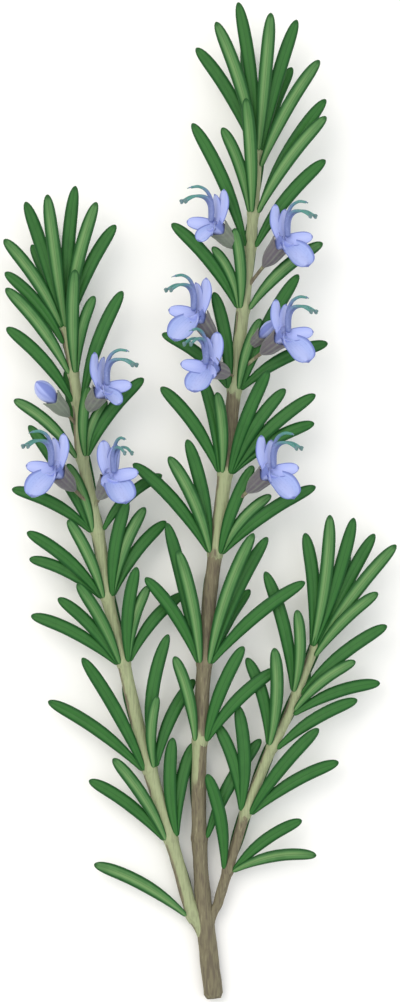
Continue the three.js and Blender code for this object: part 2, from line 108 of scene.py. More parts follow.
# Each whorl, lowest first: (height of its node, leaves, tones, rear leaves).
# A leaf: [heading, rise, length, arch, slip], in degrees and mm, arch 1 and slip 0 where left out.
# The tones give one letter to each leaf: D dark, M between, L light.
# A rear leaf, [heading, length], grows on the underside and reaches down to the floor.
WHORLS = {
    "main": [
        (40.5, [[31.9, 1, 29.2]], "D", [[-3, 21]]),
        (65, [[-16.8, 16, 23.1], [24.8, 10, 26.5], [46.9, 8, 26.8]], "LDD", [[3, 24]]),
        (84.5, [[-15, 6, 36.5, 0.6], [-13.3, 17, 30.4], [-34.7, 9, 26.3], [20.7, 14, 35.8, 1.4],
                [26.6, 6, 35.4, 1.2], [32, -3, 21.6], [51, 8, 32.6]], "DLDLDDD", [[4, 25]]),
        (112, [[-42.6, 8, 30.6], [-25.8, 17, 27.9], [-14, 8, 29.5], [23.5, 12, 24.3], [44, 8, 20.3],
               [56.5, 6, 30.2]], "DLDDLD", [[7, 25]]),
        (132, [[-37, 6, 26.9], [-14, 8, 24.9], [-6, 18, 21.2], [23, 12, 28.3], [35.6, 10, 26.1],
               [49, 7, 30], [60.8, 4, 25.5]], "DDLDDDD", [[6, 26]]),
        (153, [[-12.2, 4, 24.7], [20.5, 12, 19], [29.3, 3, 32.7], [64, 2, 25.9], [-53, 1, 22.7]],
         "DLDDD", [[6, 27]]),
        (173, [[-40.3, 3, 27.8], [-27, 9, 17.4], [-6.6, 15, 20.7], [50.4, 3, 25.7]], "DLLL", [[6, 26]]),
        (188.5, [[-25.4, 5, 34], [41, 3, 28.6]], "DD", []),
        (197, [[-20.6, 12, 22.8], [-4, 20, 29.7], [37.5, 10, 30.2], [32.7, 2, 33.5]], "MLLD", [[5, 26]]),
        (212.5, [[-31.5, 2, 29.9], [-18.8, 12, 34], [-8, 6, 37.2], [5, 16, 35], [16.4, 8, 33.9],
                 [21.9, -4, 22.5], [30.6, 12, 30.9, 1, -4]], "DLDLDDL", [[-7, 30]]),
    ],
    "left": [
        (21.5, [[-63.3, 4, 27.7]], "L", [[-17, 18]]),
        (40.5, [[-35.5, 12, 25.3], [-54.6, 4, 25.1], [1.4, 4, 25.3], [14, -2, 24.7]], "LDDD", [[-17, 20]]),
        (58, [[-31.1, 9, 32.9], [-56.4, 3, 30.5], [8.1, 6, 34.2, 2], [6.4, 18, 19.4], [27, -3, 25]],
         "DDDLD", [[-16, 23]]),
        (84.5, [[-30, 14, 23.7], [-45.3, 7, 23.2], [-63, 2, 26], [8, 12, 24.8], [18.3, 8, 20.6],
                [41, -4, 23]], "MDDDLD", [[-13, 24]]),
        (101, [[-26.7, 14, 22.3], [-51, 6, 25.9], [-64, 2, 21.7], [12, 8, 24.9], [23, 4, 24.4],
               [38, -3, 24]], "LDDDLD", [[-9, 24]]),
        (117.5, [[-33.1, 1, 31.5], [-24.1, 6, 18.5], [-64, 1, 23.8], [49, -2, 21.4]], "DLDD", [[-11, 24]]),
        (136, [[-50, 3, 22.2], [5.7, 15, 18.3], [24.2, 3, 15.4], [38.2, 2, 25]], "LMLD", [[-10, 24]]),
        (150, [[-44.2, 3, 25.5], [22.4, 4, 29.7]], "DD", []),
        (157, [[-38.6, 9, 27.2], [1.5, 19, 27], [15.8, 12, 20.3]], "LLM", [[-10, 24]]),
        (168.5, [[-41.8, 2, 23.6, 1, -4], [-34.9, 11, 26.9], [-22.2, -3, 22.3], [-17.5, 6, 32.8],
                 [-7.3, 16, 34.2], [4.4, 7, 35.4], [14.6, 13, 32.7], [26.6, 5, 28.5]], "DLDDLDLD",
         [[-8, 28]]),
    ],
    "right": [
        (32.5, [[-12.3, 12, 25.4], [55.9, 5, 22.4], [80.4, 8, 22.6]], "DDL", [[17, 18]]),
        (47, [[-18.5, 2, 23.6], [-4.5, 4, 27], [40.6, 11, 28.4], [61.4, 4, 26.5]], "DDDD", [[21, 20]]),
        (63.5, [[-16.3, 5, 23.3], [0.7, 18, 26.2], [61, 4, 24.3]], "DLD", [[26, 22]]),
        (77, [[-14.9, 4, 31.5], [-0.4, 14, 21.5], [53, 6, 28.2], [53.3, 12, 20.5, 1, -4],
              [72, 1, 23.9, 1, -5]], "DLDLD", [[22, 22]]),
        (88.5, [[-5.3, 6, 28.8], [6, 13, 34.1], [16.4, 9, 34.1], [27.6, 4, 32], [38.1, 10, 33],
                [46.3, 13, 23.2, 1, -2]], "DLDDLL", [[20, 26]]),
    ],
}
TONES = {"D": 0.0, "M": 0.55, "L": 1.0}

# Each open flower: its stem, the height its stalk grows at, its throat (across, height, rise),
# the turn it faces (0 right, 90 up, 180 left), its lower lip's size and its calyx's green share.
FLOWERS = [
    ("main", 185, (2.9, 194, 17), 150, 0.62, 0.8),
    ("main", 178, (20.9, 190.3, 16.5), 38, 1, 0.0),
    ("main", 157, (-1.5, 172, 17), 142, 1, 0.0),
    ("main", 156, (1.4, 158.5, 20), 125, 0.9, 0.0),
    ("main", 157, (21, 166.5, 20.5), 38, 1, 0.0),
    ("main", 121, (17.4, 132.8, 19), 38, 1, 0.0),
    ("left", 145, (-24, 153.5, 16), 30, 0.62, 0.5),
    ("left", 123, (-36.9, 133.3, 18), 142, 1, 0.0),
    ("left", 123, (-22.1, 131.6, 17), 62, 1, 0.3),
]
# Each bud: its stem, the height its stalk grows at, the middle of its petals, its green share
# and its size.
BUDS = [("main", 161, (16.9, 168, 15.5), 0.2, 0.95), ("left", 143.5, (-39.1, 152.5, 14.5), 1.0, 1.25)]


def linear(code):
    """An sRGB hex colour as linear red, green, blue and alpha."""
    channels = [int(code[i:i + 2], 16) / 255 for i in (1, 3, 5)]
    return tuple(c / 12.92 if c <= 0.04045 else ((c + 0.055) / 1.055) ** 2.4 for c in channels) + (1.0,)


def colour(name, code):
    """A colour property with an sRGB hex default."""
    return bpy.props.FloatVectorProperty(
        name=name, description=f"{name} colour", subtype="COLOR", size=4, min=0, max=1, default=linear(code)
    )


def size(name, default, description):
    """A length property in mm."""
    return bpy.props.FloatProperty(name=name, description=description, default=default, min=0.05, unit="NONE")


class SprigSizes(bpy.types.PropertyGroup):
    """Sizes of the sprig's pieces, in mm."""

    leaf_width: size("Leaf width", 3.4, "Widest width of a full-grown leaf, in mm")
    leaf_thickness: size("Leaf thickness", 0.95, "Thickness of a leaf at its foot, in mm")
    leaf_arch: size("Leaf arch", 1.3, "How far a leaf bows towards the tip of its stem, in mm")
    leaf_sag: size("Leaf sag", 0.9, "How far a leaf humps above a straight line, in mm")
    bark_relief: size("Bark relief", 0.16, "Depth of the fissures in the bark, in mm")
    petal_thickness: size("Petal thickness", 0.22, "Thickness of a petal, in mm")
    calyx_radius: size("Calyx radius", 2.3, "Radius of an open flower's calyx, in mm")
    calyx_length: size("Calyx length", 6.6, "Length of the calyx without its teeth, in mm")
    filament_radius: size("Filament radius", 0.34, "Radius of a stamen's filament, in mm")


class SprigColours(bpy.types.PropertyGroup):
    """Colours of the sprig and its floor."""

    leaf_dark: colour("Dark leaf", "#2d6629")
    leaf_light: colour("Light leaf", "#4b7a43")
    leaf_mottle_and_shade: colour("Leaf mottle and shade", "#124a1a")
    leaf_highlight: colour("Leaf midrib highlight", "#6c9159")
    leaf_felt: colour("Leaf underside", "#b9c2ae")
    stem_olive: colour("Young bark", "#98a27a")
    stem_brown_and_shade: colour("Old bark and edge shade", "#767059")
    stem_shadow: colour("Bark fissure shade", "#5f574a")
    stem_ridge: colour("Bark ridge", "#b3b08f")
    wood: colour("Cut wood", "#d8c9a0")
    wood_ring: colour("Growth ring", "#a98f5c")
    calyx_purple: colour("Calyx", "#5d5760")
    calyx_green: colour("Calyx green", "#6f7a6a")
    calyx_rib: colour("Calyx rib", "#8c9384")
    calyx_tooth: colour("Calyx tooth", "#3f3843")
    calyx_inside_shade: colour("Calyx inside shade", "#4a4650")
    petal: colour("Petal", "#a6b0e4")
    petal_blue: colour("Lower petal", "#96a9db")
    petal_highlight: colour("Petal highlight", "#b4bdea")
    petal_edge: colour("Petal edge", "#6a78b8")
    petal_freckle: colour("Petal freckle", "#6a5fb4")
    petal_fold_shade: colour("Petal fold shade", "#7a83c4")
    stamen: colour("Stamen", "#6b78ac")
    stamen_tip: colour("Stamen tip", "#4f8a80")
    stamen_sheen: colour("Stamen painted sheen", "#9aa6cf")
    anther: colour("Anther", "#5a7a74")
    floor: colour("Floor", "#f4f4f2")


def sizes():
    """The size properties."""
    return bpy.context.scene.sprig_sizes


def colours():
    """The colour properties."""
    return bpy.context.scene.sprig_colours


# Curves and stems ------------


def place_of(across, height, rise):
    """A point of the sprig, in mm, from its distance across, height above the cut end and rise."""
    return Vector((across, height - HALF_SPRIG, rise))


def smooth(low, high, value):
    """0 below low, 1 above high and a smooth step between."""
    share = min(1.0, max(0.0, (value - low) / (high - low)))
    return share * share * (3 - 2 * share)


def through(points, t):
    """The point at share t of a smooth curve through the points."""
    place = t * (len(points) - 1)
    first = min(int(place), len(points) - 2)
    share = place - first
    here, there = points[first], points[first + 1]
    before = points[first - 1] if first > 0 else 2 * here - there
    after = points[first + 2] if first + 2 < len(points) else 2 * there - here
    start, end = (there - before) / 2, (after - here) / 2
    cubic = (2 * (here - there) + start + end) * share ** 3
    return cubic + (3 * (there - here) - 2 * start - end) * share ** 2 + start * share + here


def bow(start, middle, tip, t):
    """The point at share t of a curve from start to tip, pulled towards middle."""
    return start * (1 - t) ** 2 + middle * (2 * t * (1 - t)) + tip * t ** 2


def direction_of(curve, t):
    """The direction of a curve at share t."""
    step = 0.002
    return (curve(min(1, t + step)) - curve(max(0, t - step))).normalized()


def once(work_out):
    """A function that works out its result once for each share and remembers it."""
    known = {}

    def result(share):
        key = round(share, 6)
        if key not in known:
            known[key] = work_out(share)
        return known[key]

    return result


class Stem:
    """The axis and radius of a stem."""

    def __init__(self, rows):
        self.points = [place_of(*row[:3]) for row in rows]
        self.radii = [row[3] for row in rows]

    def point(self, t):
        """The axis at share t."""
        return through(self.points, t)

    def radius(self, t):
        """The radius at share t."""
        place = t * (len(self.radii) - 1)
        first = min(int(place), len(self.radii) - 2)
        return self.radii[first] + (self.radii[first + 1] - self.radii[first]) * (place - first)

    def share_at(self, height):
        """The share of the axis that is at a height above the cut end."""
        low, high = 0.0, 1.0
        for _ in range(30):
            middle = (low + high) / 2
            if self.point(middle).y < height - HALF_SPRIG:
                low = middle
            else:
                high = middle
        return low

    def at(self, height):
        """The point, direction and radius at a height above the cut end."""
        share = self.share_at(height)
        return self.point(share), direction_of(self.point, share), self.radius(share)


STEM_AXES = {name: Stem(rows) for name, rows in STEMS.items()}


# Mesh tools ------------


def prism(outline, stations):
    """A closed prism with the given section, cut into rings at the stations from z = 0 to 1."""
    sides = len(outline)
    mesh = bmesh.new()
    bmesh.ops.create_cone(mesh, cap_ends=True, segments=sides, radius1=1, radius2=1, depth=1)
    bmesh.ops.translate(mesh, verts=mesh.verts, vec=(0, 0, 0.5))
    for z in stations[1:-1]:
        everything = mesh.verts[:] + mesh.edges[:] + mesh.faces[:]
        bmesh.ops.bisect_plane(mesh, geom=everything, plane_co=(0, 0, z), plane_no=UP)
    for vertex in mesh.verts:
        turn = (math.atan2(vertex.co.y, vertex.co.x) / math.tau - 0.25) * sides
        x, y = outline[round(turn) % sides]
        vertex.co = Vector((x, y, vertex.co.z))
    bmesh.ops.recalc_face_normals(mesh, faces=mesh.faces)
    return as_mesh(mesh, "template")


def circle(sides):
    """A round section."""
    return [(math.cos(math.tau * i / sides), math.sin(math.tau * i / sides)) for i in range(sides)]


def as_mesh(shape, name):
    """A bmesh as a mesh."""
    mesh = bpy.data.meshes.new(name)
    shape.to_mesh(mesh)
    shape.free()
    return mesh


def add_object(name, data):
    """A new object in the scene."""
    made = bpy.data.objects.new(name, data)
    bpy.context.scene.collection.objects.link(made)
    return made


class Piece:
    """A mesh under construction, in mm, with two attributes: place on the surface, and look."""

    def __init__(self, node):
        self.node = node
        self.mesh = bmesh.new()
        self.place = self.mesh.verts.layers.float_vector.new("place")
        self.look = self.mesh.verts.layers.float_vector.new("look")

    def add(self, template, put, material=0):
        """Adds a copy of a template and puts each vertex where put(x, y, z) says.
        put returns the point, the place attribute and the look attribute."""
        verts_before, faces_before = len(self.mesh.verts), len(self.mesh.faces)
        self.mesh.from_mesh(template)
        self.mesh.verts.ensure_lookup_table()
        self.mesh.faces.ensure_lookup_table()
        self.place = self.mesh.verts.layers.float_vector["place"]
        self.look = self.mesh.verts.layers.float_vector["look"]
        for vertex in self.mesh.verts[verts_before:]:
            vertex.co, vertex[self.place], vertex[self.look] = put(*vertex.co)
        for face in self.mesh.faces[faces_before:]:
            face.material_index = material
            face.smooth = True

    def finish(self, slot, materials):
        """Makes the object, in metres, and hands it to the frame."""
        bmesh.ops.remove_doubles(self.mesh, verts=self.mesh.verts, dist=WELD)
        bmesh.ops.recalc_face_normals(self.mesh, faces=self.mesh.faces)
        bmesh.ops.scale(self.mesh, vec=(MM, MM, MM), verts=self.mesh.verts)
        mesh = as_mesh(self.mesh, f"{self.node}_form")
        for material in materials:
            mesh.materials.append(material)
        piece = add_object(mesh.name, mesh)
        check_fit(piece, self.node)
        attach(piece, BODY)
        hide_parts(self.node)


def check_fit(piece, node):
    """Stops the script if a piece isn't where the frame has its node."""
    low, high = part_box(node)
    places = [vertex.co for vertex in piece.data.vertices]
    for axis in range(3):
        found = (min(p[axis] for p in places), max(p[axis] for p in places))
        worst = max(abs(found[0] - low[axis]), abs(found[1] - high[axis]))
        if worst > FIT * MM:
            raise RuntimeError(f"{piece.name} is {worst / MM:.1f} mm off {node} along axis {axis}")


def section_frame(curve, t, roll=0.0, reference=UP):
    """The point, left and upward directions of a curve at share t, for an upward reference."""
    forward = direction_of(curve, t)
    left = reference.cross(forward).normalized()
    face = forward.cross(left)
    turned = Matrix.Rotation(roll, 3, forward)
    return curve(t), turned @ left, turned @ face


def rod(piece, template, curve, radius, look=(0, 0, 0), material=0, reference=UP):
    """Adds a round rod along a curve. The place attribute holds the angle's cosine, the share along
    and the angle's sine."""
    section_at = once(lambda share: section_frame(curve, share, 0.0, reference))

    def put(x, y, z):
        centre, left, face = section_at(z)
        around = math.atan2(y, x)
        r = radius(z, around)
        return centre + left * (x * r) + face * (y * r), Vector((x, z, y)), Vector(look)

    piece.add(template, put, material)


# Materials ------------


def add_node(tree, kind, settings=None, links=None):
    """Adds a shader node, sets its settings and fills its inputs with values or other nodes' outputs."""
    node = tree.nodes.new(kind)
    for name, value in (settings or {}).items():
        setattr(node, name, value)
    for name, source in (links or {}).items():
        if isinstance(source, bpy.types.NodeSocket):
            tree.links.new(source, node.inputs[name])
        else:
            node.inputs[name].default_value = source
    return node


def new_material(name, values):
    """A material, its tree and its surface shader with fixed values set."""
    material = bpy.data.materials.new(name)
    material.use_nodes = True
    surface = material.node_tree.nodes["Principled BSDF"]
    for socket, value in values.items():
        surface.inputs[socket].default_value = value
    return material, material.node_tree, surface


def value_of(tree, term):
    """What a term comes to. A term is a number, a node's output, a maths operation with its terms, or
    a term with the low and high that smoothly become 0 and 1, or the two numbers after them."""
    if not isinstance(term, tuple):
        return term
    first, *rest = term
    if isinstance(first, str):
        links = {place: value_of(tree, part) for place, part in enumerate(rest)}
        return add_node(tree, "ShaderNodeMath", {"operation": first}, links).outputs[0]
    links = dict(enumerate([value_of(tree, first), *rest]))
    return add_node(tree, "ShaderNodeMapRange", {"interpolation_type": "SMOOTHSTEP"}, links).outputs[0]


def layered(tree, base, layers):
    """A base colour with others laid over it, each as strongly as its term says."""
    for strength, over in layers:
        links = {0: value_of(tree, strength), 6: base, 7: over}
        base = add_node(tree, "ShaderNodeMix", {"data_type": "RGBA"}, links).outputs[2]
    return base


def parts_of(tree, name):
    """The three parts of a vector attribute."""
    source = add_node(tree, "ShaderNodeAttribute", {"attribute_name": name})
    return add_node(tree, "ShaderNodeSeparateXYZ", None, {0: source.outputs["Vector"]}).outputs


def grain(tree, spacing, stretch=(1, 1, 1), detail=3.0):
    """Noise whose grain is spacing mm wide, longer along an axis where stretch is over 1."""
    place = add_node(tree, "ShaderNodeTexCoord").outputs["Object"]
    scale = [1 / (spacing * MM * s) for s in stretch]
    mapping = add_node(tree, "ShaderNodeMapping", None, {"Vector": place, "Scale": scale})
    noise_node = add_node(tree, "ShaderNodeTexNoise", None, {
        "Vector": mapping.outputs[0], "Scale": 1.0, "Detail": detail, "Roughness": 0.55})
    return noise_node.outputs[0]


def dress(tree, surface, skin, height, depth):
    """Gives a surface shader its colour and a relief of the given depth in mm."""
    links = {"Height": height, "Strength": 1.0, "Distance": depth * MM}
    bump = add_node(tree, "ShaderNodeBump", None, links)
    tree.links.new(skin, surface.inputs["Base Color"])
    tree.links.new(bump.outputs[0], surface.inputs["Normal"])


def leaf_material():
    """Leathery rosemary leaf: a waxy, faintly pebbled upper side with a sunken midrib and a rolled
    margin, both darkened with painted shade, a painted highlight beside the midrib, and a pale matt
    felt of hairs below."""
    c = colours()
    material, tree, surface = new_material("rosemary_leaf_waxy", {"IOR": 1.42, "Specular IOR Level": 0.3})
    across, along, tone = parts_of(tree, "place")
    felt, shade, _ = parts_of(tree, "look")
    off_middle = value_of(tree, ("ABSOLUTE", across))
    mottle = (grain(tree, 2.2, (1, 2, 1)), 0.3, 0.7, -0.16, 0.16)
    # A painted highlight: a pale band beside the midrib, broad on a light leaf and a hairline on a dark one.
    beside = ("ABSOLUTE", ("SUBTRACT", across, 0.12))
    band = ("MULTIPLY", (beside, 0.4, 0.14), (tone, 0, 1, 0.05, 0.9))
    rim = ("MAXIMUM", (off_middle, 0.5, 0.76), (along, 0.95, 0.99))
    blade = layered(tree, c.leaf_dark, [
        (tone, c.leaf_light),
        (("ADD", shade, mottle), c.leaf_mottle_and_shade),
        # The painted highlight beside the midrib.
        (("MULTIPLY", band, (along, 0.99, 0.7)), c.leaf_highlight),
        # Painted shade in the groove of the midrib.
        (("MULTIPLY", (off_middle, 0.09, 0.0), 0.45), c.leaf_mottle_and_shade),
        # Painted shade along the rolled-down margin and at the tip.
        (("MULTIPLY", rim, 0.92), c.leaf_mottle_and_shade),
        (felt, c.leaf_felt),
    ])
    tree.links.new(value_of(tree, (felt, 0, 1, 0.46, 0.95)), surface.inputs["Roughness"])
    # Pebbles 0.3 mm wide.
    dress(tree, surface, blade, grain(tree, 0.3, (1, 1.6, 1)), 0.05)
    return material


def bark_material():
    """Rosemary bark: smooth, downy and olive when young, grey-brown with fine lengthwise fissures
    when old. The look attribute says how old, and where painted shade darkens one edge."""
    c = colours()
    material, tree, surface = new_material("rosemary_bark_fissured", {"IOR": 1.4})
    old, cut, ring = parts_of(tree, "look")
    # Fissures run along the stem: 0.4 mm wide and some millimetres long.
    fissures = grain(tree, 0.42, (1, 11, 1), 4.0)
    patches = (grain(tree, 3.5, (1, 3.2, 1)), 0.36, 0.64, -0.22, 0.22)
    age = value_of(tree, (("ADD", old, patches), 0.3, 0.7))
    # The cut face: pale wood with rings of growth round a soft pith.
    rings = ("SINE", ("MULTIPLY", ring, 12.0))
    wood = layered(tree, c.wood, [((rings, -1, 1, 0, 0.35), c.wood_ring)])
    bark = layered(tree, c.stem_olive, [
        # Brown for old bark, and painted shade along the left edge.
        (age, c.stem_brown_and_shade),
        # Painted shade in the fissures, stronger on old bark.
        (("MULTIPLY", (fissures, 0.53, 0.36), (age, 0, 1, 0.28, 0.85)), c.stem_shadow),
        (("MULTIPLY", (fissures, 0.58, 0.72), 0.35), c.stem_ridge),
        (cut, wood),
    ])
    tree.links.new(value_of(tree, (age, 0, 1, 0.6, 0.88)), surface.inputs["Roughness"])
    dress(tree, surface, bark, fissures, 0.14)
    return material


def calyx_material():
    """Calyx of a rosemary flower: thin, ribbed and downy, grey-purple with greener ribs and painted shade
    inside.
    """
    c = colours()
    material, tree, surface = new_material("rosemary_calyx_downy", {
        "IOR": 1.4, "Roughness": 0.8, "Sheen Weight": 0.25, "Sheen Roughness": 0.5})
    _, along, _ = parts_of(tree, "place")
    green, rib, inner_shade = parts_of(tree, "look")
    mottle = (grain(tree, 1.1), 0.35, 0.65, -0.2, 0.2)
    skin = layered(tree, c.calyx_purple, [
        (("ADD", green, mottle), c.calyx_green),
        (("MULTIPLY", rib, 0.45), c.calyx_rib),
        (("MULTIPLY", (along, 0.72, 1.0), 0.5), c.calyx_tooth),
        # Painted shade on the inside of the calyx.
        (inner_shade, c.calyx_inside_shade),
    ])
    dress(tree, surface, skin, grain(tree, 0.22), 0.05)
    return material


def petal_material():
    """Petal of a rosemary flower: thin and matt with a faint sparkle of cells, a painted highlight that
    pales the middle, with violet edges and fine veins that run along it."""
    c = colours()
    material, tree, surface = new_material("rosemary_petal_matt", {
        "IOR": 1.35, "Roughness": 0.62, "Sheen Weight": 0.15, "Sheen Roughness": 0.4})
    across, along, _ = parts_of(tree, "place")
    blue, spots, inner_shade = parts_of(tree, "look")
    off_middle = value_of(tree, ("ABSOLUTE", across))
    middle = ("MULTIPLY", (off_middle, 0.75, 0.1), (along, 0.15, 0.6))
    veins = ("ABSOLUTE", ("SINE", ("MULTIPLY", across, 13.0)))
    rim = ("MAXIMUM", (off_middle, 0.8, 0.95), (along, 0.93, 0.985))
    skin = layered(tree, c.petal, [
        (blue, c.petal_blue),
        # Painted highlight in the middle of each lobe.
        (("MULTIPLY", middle, 0.65), c.petal_highlight),
        (("MULTIPLY", (veins, 0.22, 0.0), (along, 0.95, 0.3, 0.0, 0.4)), c.petal_edge),
        (("MULTIPLY", rim, 0.9), c.petal_edge),
        (("MULTIPLY", (grain(tree, 0.7), 0.56, 0.64), spots), c.petal_freckle),
        # Painted shade inside the tube and in the folds of a bud.
        (inner_shade, c.petal_fold_shade),
    ])
    dress(tree, surface, skin, grain(tree, 0.18), 0.025)
    return material


def stamen_material():
    """Filaments, style and anthers: smooth and slightly moist, slate violet that turns blue-green
    towards the tip, with a painted sheen in pale patches."""
    c = colours()
    material, tree, surface = new_material("rosemary_filament_smooth", {"IOR": 1.4, "Roughness": 0.5})
    _, along, _ = parts_of(tree, "place")
    anther, _, _ = parts_of(tree, "look")
    skin = layered(tree, c.stamen, [
        ((along, 0.35, 0.8), c.stamen_tip),
        (anther, c.anther),
        # Painted sheen in random pale patches.
        ((grain(tree, 0.5), 0.45, 0.75, 0.0, 0.3), c.stamen_sheen),
    ])
    dress(tree, surface, skin, grain(tree, 0.15), 0.02)
    return material


def floor_material():
    """A plain, pale, matt studio floor."""
    values = {"Roughness": 0.95, "Specular IOR Level": 0.2, "Base Color": colours().floor}
    return new_material("studio_floor_matt", values)[0]


def finish_of(name):
    """The named material, made the first time that it is asked for."""
    makers = {
        "rosemary_leaf_waxy": leaf_material,
        "rosemary_bark_fissured": bark_material,
        "rosemary_calyx_downy": calyx_material,
        "rosemary_petal_matt": petal_material,
        "rosemary_filament_smooth": stamen_material,
        "studio_floor_matt": floor_material,
    }
    return bpy.data.materials.get(name) or makers[name]()


# Stems ------------

STEM_SIDES = 28
STEM_STEP = 1.5  # mm between the rings of a stem
SWELLING = 0.16  # mm that a leaf node adds to the radius of its stem
SWELLING_REACH = 2.2  # mm along the stem
SHOOT_BLEND = 9  # mm of a side shoot that blend into the main stem
CUT_BACK = 0.3  # mm that the cut face lies above the frame's end
CUT_SLANT = 0.25  # mm that it slants
CUT_RINGS = (0.192, 0.48, 0.56, 0.8)  # mm between the rings of the cut face, from the bark inwards

# Where bark is old or young, and where painted shade darkens the main stem's left edge, as heights
# above the cut end in mm. The foot of a stem is old up to the first height and young from the
# second. The others start, are whole, start to end and end.
OLD_FOOT = {"main": (62, 76), "right": (38, 54)}
YOUNG_STRIP = (50, 56, 66, 72)
OLD_PATCHES = ((64, 70, 108, 116), (130, 136, 148, 154))
SHADED_EDGE = (100, 120, 175, 190)


def band(height, low, full, fading, high):
    """0 below low and above high, 1 from full to fading and smooth between."""
    return smooth(low, full, height) * (1 - smooth(fading, high, height))


def age_and_shade_of(name, height, cosine):
    """How brown the bark is, from 0 to 1, at a height and on the side whose cosine is given: 1 is the
    left. A stem browns with age from its base up, and painted shade darkens its left edge."""
    left = (1 + cosine) / 2
    base = 1 - smooth(*OLD_FOOT[name], height) if name in OLD_FOOT else 0.0
    # Painted shade along the left edge of the stem.
    edge = 0.6 * smooth(0.62, 0.97, left)
    if name != "main":
        return max(base, edge)
    strip = 0.75 * band(height, *YOUNG_STRIP) * smooth(0.42, 0.62, left)
    patch = 0.95 * max(band(height, *heights) for heights in OLD_PATCHES)
    return max(base - strip, patch, edge * band(height, *SHADED_EDGE))


def build_stem(name):
    """One stem with fissured bark, swollen nodes and, on the main stem, a cut end."""
    sizes_now, stem = sizes(), STEM_AXES[name]
    length = sum((b - a).length for a, b in zip(stem.points, stem.points[1:]))
    rings = round(length / STEM_STEP)
    stations = [0, 0.0006, 0.003] + [i / rings for i in range(1, rings)] + [0.997, 1]
    template = prism(circle(STEM_SIDES), stations)
    piece = Piece(STEM_NODES[name])
    heights = [whorl[0] for whorl in WHORLS[name]]
    trunk = STEM_AXES["main"]

    def section(share):
        centre, left, face = section_frame(stem.point, share)
        height = stem.point(share).y + HALF_SPRIG
        sunk = 0.0 if stem is trunk else 1 - smooth(0, SHOOT_BLEND, share * length)
        if sunk:
            centre = centre.lerp(trunk.point(trunk.share_at(height - 2 * sunk)), 0.5 * sunk)
        return centre, left, face, height, sunk

    section_at = once(section)

    def put(x, y, z):
        centre, left, face, height, sunk = section_at(z)
        turn = math.atan2(y, x)
        # The bark's age, with painted shade along its left edge.
        old = age_and_shade_of(name, height, x)
        fissure = noise(Vector((3.2 * x, 3.2 * y, height * 0.16 + 9)))
        fine = noise(Vector((8 * x, 8 * y, height * 0.35)))
        bark = sizes_now.bark_relief * (fissure * 1.1 + fine * 0.6) * (0.35 + 0.65 * old)
        swell = sum(SWELLING * math.exp(-((height - node) / SWELLING_REACH) ** 2) for node in heights)
        edge = 1 - 0.3 * smooth(0.006, 0, z) if name == "main" else 1 - 0.2 * smooth(0.997, 1, z)
        r = (stem.radius(z) * (1 - 0.1 * sunk) + bark + swell) * edge
        cut = 1.0 if name == "main" and z < 0.0003 else 0.0
        point = centre + left * (x * r) + face * (y * r)
        if cut:
            point.y += CUT_BACK + CUT_SLANT * math.sin(turn + 0.6)
        return point, Vector((x, z, y)), Vector((old, cut, 1.0))

    piece.add(template, put)
    if name == "main":
        cut_face(piece)
    piece.finish(SLOTS[STEM_NODES[name]], [finish_of("rosemary_bark_fissured")])


def cut_face(piece):
    """Divides the cut end into rings, from the bark to a small pith."""
    piece.mesh.faces.ensure_lookup_table()
    face = max(piece.mesh.faces, key=lambda f: len(f.verts) * (f.calc_center_median().y < 0))
    for width in CUT_RINGS:
        bmesh.ops.inset_individual(piece.mesh, faces=[face], thickness=width, depth=-0.02)
        for vertex in face.verts:
            vertex[piece.look] = Vector((0, 1, vertex[piece.look].z - 0.25))


# Leaves ------------

# Half of a leaf's section, from the groove of the midrib over the rolled margin to the midrib
# below: across, up and how much of it is felt.
HALF_LEAF = [
    (0.0, 0.58, 0), (0.14, 0.86, 0), (0.5, 1.0, 0), (0.82, 0.72, 0), (1.0, 0.1, 0), (0.95, -0.55, 0),
    (0.78, -0.72, 0.1), (0.6, -0.3, 1), (0.24, -0.18, 1), (0.0, -0.46, 0.5),
]
LEAF_STATIONS = [
    0, 0.008, 0.025, 0.06, 0.14, 0.24, 0.34, 0.44, 0.54, 0.64, 0.73, 0.81, 0.87, 0.92, 0.955, 0.98, 0.994, 1,
]
LEAF_FOOT = 0.34  # width of a leaf's foot, as a share of its greatest
LEAF_WIDEST = 0.55  # share of its length where a leaf is widest
LEAF_GAP = 0.25  # mm from the stem to the middle of a leaf's foot
LEAF_ROLL = 0.16  # the furthest that a leaf rolls about its length, in radians
LEAF_CURL = 0.12  # the furthest that it twists towards its tip, in radians
LEAF_SHADE = (-0.05, 0.14)  # how much darker leaves are than their tone
LEAF_BLUNTNESS = 4.6  # the higher, the blunter a leaf's tip
REST_HEIGHT = 0.45  # mm from the floor to the middle of a rear leaf's tip
FOOT_LEAN = 0.6  # how far the feet of the leaves sit towards the front of the stem
RING_LENGTH = 4.4  # mm of the stem that a ring of leaf bases covers
RING_HEIGHT = 0.42  # mm


def leaf_section():
    """The whole section of a leaf, as points and as their felt."""
    mirrored = [(-x, y, felt) for x, y, felt in HALF_LEAF[-2:0:-1]]
    whole = HALF_LEAF + mirrored
    return [(x, y) for x, y, _ in whole], {(round(x, 3), round(y, 3)): felt for x, y, felt in whole}


def leaf_outline(t):
    """Half width of a leaf along its length, as a share of its greatest."""
    if t < LEAF_WIDEST:
        rounding = math.sqrt(1 - (1 - min(1, t / 0.03)) ** 2)
        widening = math.sin(math.pi / 2 * t / LEAF_WIDEST)
        return LEAF_FOOT * (0.25 + 0.75 * rounding) + (1 - LEAF_FOOT) * widening
    return math.sqrt(max(0.004, 1 - ((t - LEAF_WIDEST) / (1 - LEAF_WIDEST)) ** LEAF_BLUNTNESS))


def leaf_direction(heading, rise):
    """The direction of a leaf from its bearing and its rise."""
    bearing, climb = math.radians(heading), math.radians(rise)
    flat = math.cos(climb)
    return Vector((math.sin(bearing) * flat, math.cos(bearing) * flat, math.sin(climb)))


